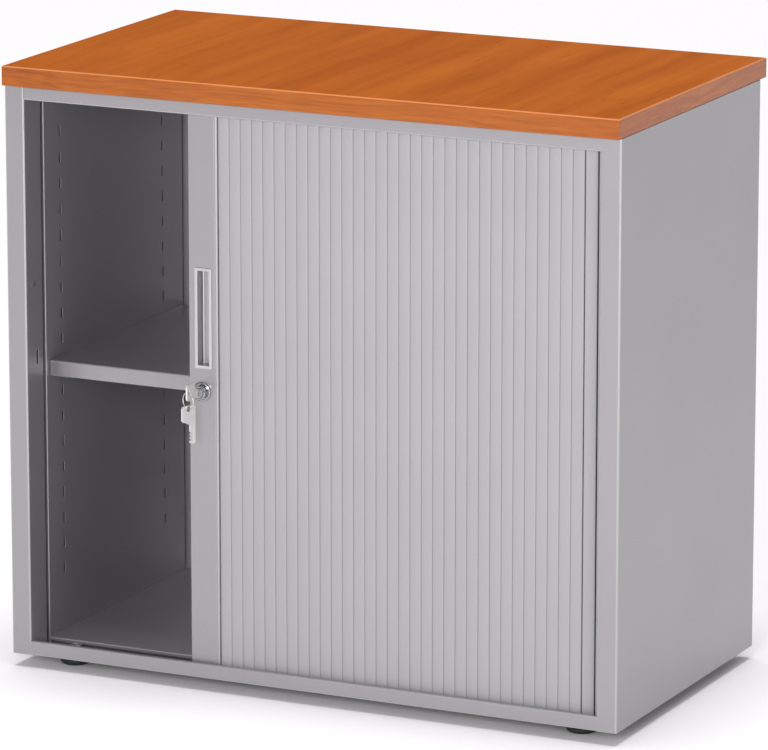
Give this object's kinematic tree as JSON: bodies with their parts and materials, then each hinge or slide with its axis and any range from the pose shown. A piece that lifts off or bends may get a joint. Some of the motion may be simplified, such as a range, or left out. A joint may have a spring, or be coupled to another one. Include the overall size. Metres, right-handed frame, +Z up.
{
  "type": "side-opening tambour cabinet",
  "caption": "Low office cabinet with a wood top and a sideways tambour shutter of vertical slats, one shelf, lock with keys and levelling feet.",
  "frame": {"origin": "on the floor, under the middle of the overall box", "axes": "+X to the right seen from the front, -Y to the front where the shutter is, +Z up"},
  "size_m": [0.8, 0.4744, 0.742],
  "materials": {
    "steel_grey": "silver-grey powder coat, fine satin",
    "wood_top": "cherry-tone wood-grain laminate, satin",
    "wood_edge": "cherry-tone edge band, satin",
    "slat_plastic": "light grey extruded plastic, satin",
    "track_plastic": "dark moulded plastic",
    "grip_silver": "silver coloured moulded plastic, semi-gloss",
    "lock_chrome": "polished",
    "hook_steel": "zinc plated",
    "key_nickel": "nickel plated, satin",
    "buffer_rubber": "dull",
    "foot_plastic": "black moulded plastic"
  },
  "bodies": {
    "carcass": {"top_board": "wood_top", "top_edge_bands": "wood_edge", "side_panel_left": "steel_grey", "side_panel_right": "steel_grey", "closing_buffer": "buffer_rubber", "base_pan": "steel_grey", "roof_pan": "steel_grey", "back_panel": "steel_grey", "liner_left": "steel_grey", "liner_right": "steel_grey", "inner_floor": "steel_grey", "shelf": "steel_grey", "shelf_clips": "hook_steel", "lower_track": "track_plastic", "upper_track": "track_plastic", "stored_slats": "slat_plastic"},
    "shutter": {"lead_bar": "steel_grey", "guide_shoes": "track_plastic", "grip_cup": "grip_silver", "lock_housing": "lock_chrome"},
    "lock_plug": {"lock_plug": "lock_chrome"},
    "lock_hook": {"lock_hook": "hook_steel"},
    "key": {"key": "key_nickel"},
    "key_ring": {"key_ring": "hook_steel"},
    "spare_key": {"spare_key": "key_nickel"},
    "slat_01": {"slat_01": "slat_plastic"},
    "slat_02": {"slat_02": "slat_plastic"},
    "slat_03": {"slat_03": "slat_plastic"},
    "slat_04": {"slat_04": "slat_plastic"},
    "slat_05": {"slat_05": "slat_plastic"},
    "slat_06": {"slat_06": "slat_plastic"},
    "slat_07": {"slat_07": "slat_plastic"},
    "slat_08": {"slat_08": "slat_plastic"},
    "slat_09": {"slat_09": "slat_plastic"},
    "slat_10": {"slat_10": "slat_plastic"},
    "slat_11": {"slat_11": "slat_plastic"},
    "slat_12": {"slat_12": "slat_plastic"},
    "slat_13": {"slat_13": "slat_plastic"},
    "slat_14": {"slat_14": "slat_plastic"},
    "slat_15": {"slat_15": "slat_plastic"},
    "slat_16": {"slat_16": "slat_plastic"},
    "slat_17": {"slat_17": "slat_plastic"},
    "slat_18": {"slat_18": "slat_plastic"},
    "slat_19": {"slat_19": "slat_plastic"},
    "slat_20": {"slat_20": "slat_plastic"},
    "slat_21": {"slat_21": "slat_plastic"},
    "slat_22": {"slat_22": "slat_plastic"},
    "slat_23": {"slat_23": "slat_plastic"},
    "slat_24": {"slat_24": "slat_plastic"},
    "slat_25": {"slat_25": "slat_plastic"},
    "slat_26": {"slat_26": "slat_plastic"},
    "slat_27": {"slat_27": "slat_plastic"},
    "slat_28": {"slat_28": "slat_plastic"},
    "slat_29": {"slat_29": "slat_plastic"},
    "slat_30": {"slat_30": "slat_plastic"},
    "slat_31": {"slat_31": "slat_plastic"},
    "foot_front_left": {"foot_front_left": "foot_plastic"},
    "foot_front_right": {"foot_front_right": "foot_plastic"},
    "foot_rear_left": {"foot_rear_left": "foot_plastic"},
    "foot_rear_right": {"foot_rear_right": "foot_plastic"}
  },
  "joints": [
    {"name": "shutter_slide", "type": "slide", "parent": "carcass", "child": "shutter", "axis": [1, 0, 0], "range_m": [-0.2125, 0.49], "deforming": ["slat_01", "slat_02", "slat_03", "slat_04", "slat_05", "slat_06", "slat_07", "slat_08", "slat_09", "slat_10", "slat_11", "slat_12", "slat_13", "slat_14", "slat_15", "slat_16", "slat_17", "slat_18", "slat_19", "slat_20", "slat_21", "slat_22", "slat_23", "slat_24", "slat_25", "slat_26", "slat_27", "slat_28", "slat_29", "slat_30", "slat_31", "stored_slats"]},
    {"name": "slat_01_slide", "type": "slide", "parent": "carcass", "child": "slat_01", "axis": [1, 0, 0], "range_m": [-0.213, 0.4905]},
    {"name": "slat_02_slide", "type": "slide", "parent": "carcass", "child": "slat_02", "axis": [1, 0, 0], "range_m": [-0.20613, 0.47466]},
    {"name": "slat_03_slide", "type": "slide", "parent": "carcass", "child": "slat_03", "axis": [1, 0, 0], "range_m": [-0.19926, 0.45881]},
    {"name": "slat_04_slide", "type": "slide", "parent": "carcass", "child": "slat_04", "axis": [1, 0, 0], "range_m": [-0.19239, 0.44297]},
    {"name": "slat_05_slide", "type": "slide", "parent": "carcass", "child": "slat_05", "axis": [1, 0, 0], "range_m": [-0.18552, 0.42713]},
    {"name": "slat_06_slide", "type": "slide", "parent": "carcass", "child": "slat_06", "axis": [1, 0, 0], "range_m": [-0.17865, 0.41128]},
    {"name": "slat_07_slide", "type": "slide", "parent": "carcass", "child": "slat_07", "axis": [1, 0, 0], "range_m": [-0.17178, 0.39544]},
    {"name": "slat_08_slide", "type": "slide", "parent": "carcass", "child": "slat_08", "axis": [1, 0, 0], "range_m": [-0.1649, 0.3796]},
    {"name": "slat_09_slide", "type": "slide", "parent": "carcass", "child": "slat_09", "axis": [1, 0, 0], "range_m": [-0.15803, 0.36375]},
    {"name": "slat_10_slide", "type": "slide", "parent": "carcass", "child": "slat_10", "axis": [1, 0, 0], "range_m": [-0.15116, 0.34791]},
    {"name": "slat_11_slide", "type": "slide", "parent": "carcass", "child": "slat_11", "axis": [1, 0, 0], "range_m": [-0.14429, 0.33207]},
    {"name": "slat_12_slide", "type": "slide", "parent": "carcass", "child": "slat_12", "axis": [1, 0, 0], "range_m": [-0.13742, 0.31622]},
    {"name": "slat_13_slide", "type": "slide", "parent": "carcass", "child": "slat_13", "axis": [1, 0, 0], "range_m": [-0.13055, 0.30038]},
    {"name": "slat_14_slide", "type": "slide", "parent": "carcass", "child": "slat_14", "axis": [1, 0, 0], "range_m": [-0.12368, 0.28454]},
    {"name": "slat_15_slide", "type": "slide", "parent": "carcass", "child": "slat_15", "axis": [1, 0, 0], "range_m": [-0.11681, 0.26869]},
    {"name": "slat_16_slide", "type": "slide", "parent": "carcass", "child": "slat_16", "axis": [1, 0, 0], "range_m": [-0.10994, 0.25285]},
    {"name": "slat_17_slide", "type": "slide", "parent": "carcass", "child": "slat_17", "axis": [1, 0, 0], "range_m": [-0.10307, 0.23701]},
    {"name": "slat_18_slide", "type": "slide", "parent": "carcass", "child": "slat_18", "axis": [1, 0, 0], "range_m": [-0.0962, 0.22116]},
    {"name": "slat_19_slide", "type": "slide", "parent": "carcass", "child": "slat_19", "axis": [1, 0, 0], "range_m": [-0.08932, 0.20532]},
    {"name": "slat_20_slide", "type": "slide", "parent": "carcass", "child": "slat_20", "axis": [1, 0, 0], "range_m": [-0.08245, 0.18948]},
    {"name": "slat_21_slide", "type": "slide", "parent": "carcass", "child": "slat_21", "axis": [1, 0, 0], "range_m": [-0.07558, 0.17363]},
    {"name": "slat_22_slide", "type": "slide", "parent": "carcass", "child": "slat_22", "axis": [1, 0, 0], "range_m": [-0.06871, 0.15779]},
    {"name": "slat_23_slide", "type": "slide", "parent": "carcass", "child": "slat_23", "axis": [1, 0, 0], "range_m": [-0.06184, 0.14195]},
    {"name": "slat_24_slide", "type": "slide", "parent": "carcass", "child": "slat_24", "axis": [1, 0, 0], "range_m": [-0.05497, 0.1261]},
    {"name": "slat_25_slide", "type": "slide", "parent": "carcass", "child": "slat_25", "axis": [1, 0, 0], "range_m": [-0.0481, 0.11026]},
    {"name": "slat_26_slide", "type": "slide", "parent": "carcass", "child": "slat_26", "axis": [1, 0, 0], "range_m": [-0.04123, 0.09442]},
    {"name": "slat_27_slide", "type": "slide", "parent": "carcass", "child": "slat_27", "axis": [1, 0, 0], "range_m": [-0.03436, 0.07857]},
    {"name": "slat_28_slide", "type": "slide", "parent": "carcass", "child": "slat_28", "axis": [1, 0, 0], "range_m": [-0.02749, 0.06273]},
    {"name": "slat_29_slide", "type": "slide", "parent": "carcass", "child": "slat_29", "axis": [1, 0, 0], "range_m": [-0.02062, 0.04689]},
    {"name": "slat_30_slide", "type": "slide", "parent": "carcass", "child": "slat_30", "axis": [1, 0, 0], "range_m": [-0.01375, 0.03104]},
    {"name": "slat_31_slide", "type": "slide", "parent": "carcass", "child": "slat_31", "axis": [1, 0, 0], "range_m": [-0.00687, 0.0152]},
    {"name": "key_turn", "type": "hinge", "parent": "shutter", "child": "lock_plug", "pos_m": [-0.1424, -0.19081, 0.367], "axis": [0, -1, 0], "range_deg": [0, 90]},
    {"name": "hook_swing", "type": "hinge", "parent": "shutter", "child": "lock_hook", "pos_m": [-0.1344, -0.17456, 0.366], "axis": [0, -1, 0], "range_deg": [0, 50]},
    {"name": "key_pull", "type": "slide", "parent": "lock_plug", "child": "key", "axis": [0, -1, 0], "range_m": [0, 0.024]},
    {"name": "ring_swing", "type": "hinge", "parent": "key", "child": "key_ring", "pos_m": [-0.1424, -0.22761, 0.373], "axis": [0.4067, 0.9135, 0], "range_deg": [-45, 45]},
    {"name": "spare_swing", "type": "hinge", "parent": "key_ring", "child": "spare_key", "pos_m": [-0.1424, -0.22761, 0.3534], "axis": [0.9135, -0.4067, 0], "range_deg": [-40, 15]},
    {"name": "foot_front_left_level", "type": "slide", "parent": "carcass", "child": "foot_front_left", "axis": [0, 0, 1], "range_m": [-0.006, 0.005]},
    {"name": "foot_front_right_level", "type": "slide", "parent": "carcass", "child": "foot_front_right", "axis": [0, 0, 1], "range_m": [-0.006, 0.005]},
    {"name": "foot_rear_left_level", "type": "slide", "parent": "carcass", "child": "foot_rear_left", "axis": [0, 0, 1], "range_m": [-0.006, 0.005]},
    {"name": "foot_rear_right_level", "type": "slide", "parent": "carcass", "child": "foot_rear_right", "axis": [0, 0, 1], "range_m": [-0.006, 0.005]}
  ],
  "couplings": [
    {"joint": "slat_01_slide", "follows": "shutter_slide", "ratio": 1},
    {"joint": "slat_02_slide", "follows": "shutter_slide", "ratio": 0.96767},
    {"joint": "slat_03_slide", "follows": "shutter_slide", "ratio": 0.93533},
    {"joint": "slat_04_slide", "follows": "shutter_slide", "ratio": 0.903},
    {"joint": "slat_05_slide", "follows": "shutter_slide", "ratio": 0.87067},
    {"joint": "slat_06_slide", "follows": "shutter_slide", "ratio": 0.83833},
    {"joint": "slat_07_slide", "follows": "shutter_slide", "ratio": 0.806},
    {"joint": "slat_08_slide", "follows": "shutter_slide", "ratio": 0.77367},
    {"joint": "slat_09_slide", "follows": "shutter_slide", "ratio": 0.74133},
    {"joint": "slat_10_slide", "follows": "shutter_slide", "ratio": 0.709},
    {"joint": "slat_11_slide", "follows": "shutter_slide", "ratio": 0.67667},
    {"joint": "slat_12_slide", "follows": "shutter_slide", "ratio": 0.64433},
    {"joint": "slat_13_slide", "follows": "shutter_slide", "ratio": 0.612},
    {"joint": "slat_14_slide", "follows": "shutter_slide", "ratio": 0.57967},
    {"joint": "slat_15_slide", "follows": "shutter_slide", "ratio": 0.54733},
    {"joint": "slat_16_slide", "follows": "shutter_slide", "ratio": 0.515},
    {"joint": "slat_17_slide", "follows": "shutter_slide", "ratio": 0.48267},
    {"joint": "slat_18_slide", "follows": "shutter_slide", "ratio": 0.45033},
    {"joint": "slat_19_slide", "follows": "shutter_slide", "ratio": 0.418},
    {"joint": "slat_20_slide", "follows": "shutter_slide", "ratio": 0.38567},
    {"joint": "slat_21_slide", "follows": "shutter_slide", "ratio": 0.35333},
    {"joint": "slat_22_slide", "follows": "shutter_slide", "ratio": 0.321},
    {"joint": "slat_23_slide", "follows": "shutter_slide", "ratio": 0.28867},
    {"joint": "slat_24_slide", "follows": "shutter_slide", "ratio": 0.25633},
    {"joint": "slat_25_slide", "follows": "shutter_slide", "ratio": 0.224},
    {"joint": "slat_26_slide", "follows": "shutter_slide", "ratio": 0.19167},
    {"joint": "slat_27_slide", "follows": "shutter_slide", "ratio": 0.15933},
    {"joint": "slat_28_slide", "follows": "shutter_slide", "ratio": 0.127},
    {"joint": "slat_29_slide", "follows": "shutter_slide", "ratio": 0.09467},
    {"joint": "slat_30_slide", "follows": "shutter_slide", "ratio": 0.06233},
    {"joint": "slat_31_slide", "follows": "shutter_slide", "ratio": 0.03},
    {"joint": "hook_swing", "follows": "key_turn", "ratio": 0.5555}
  ]
}
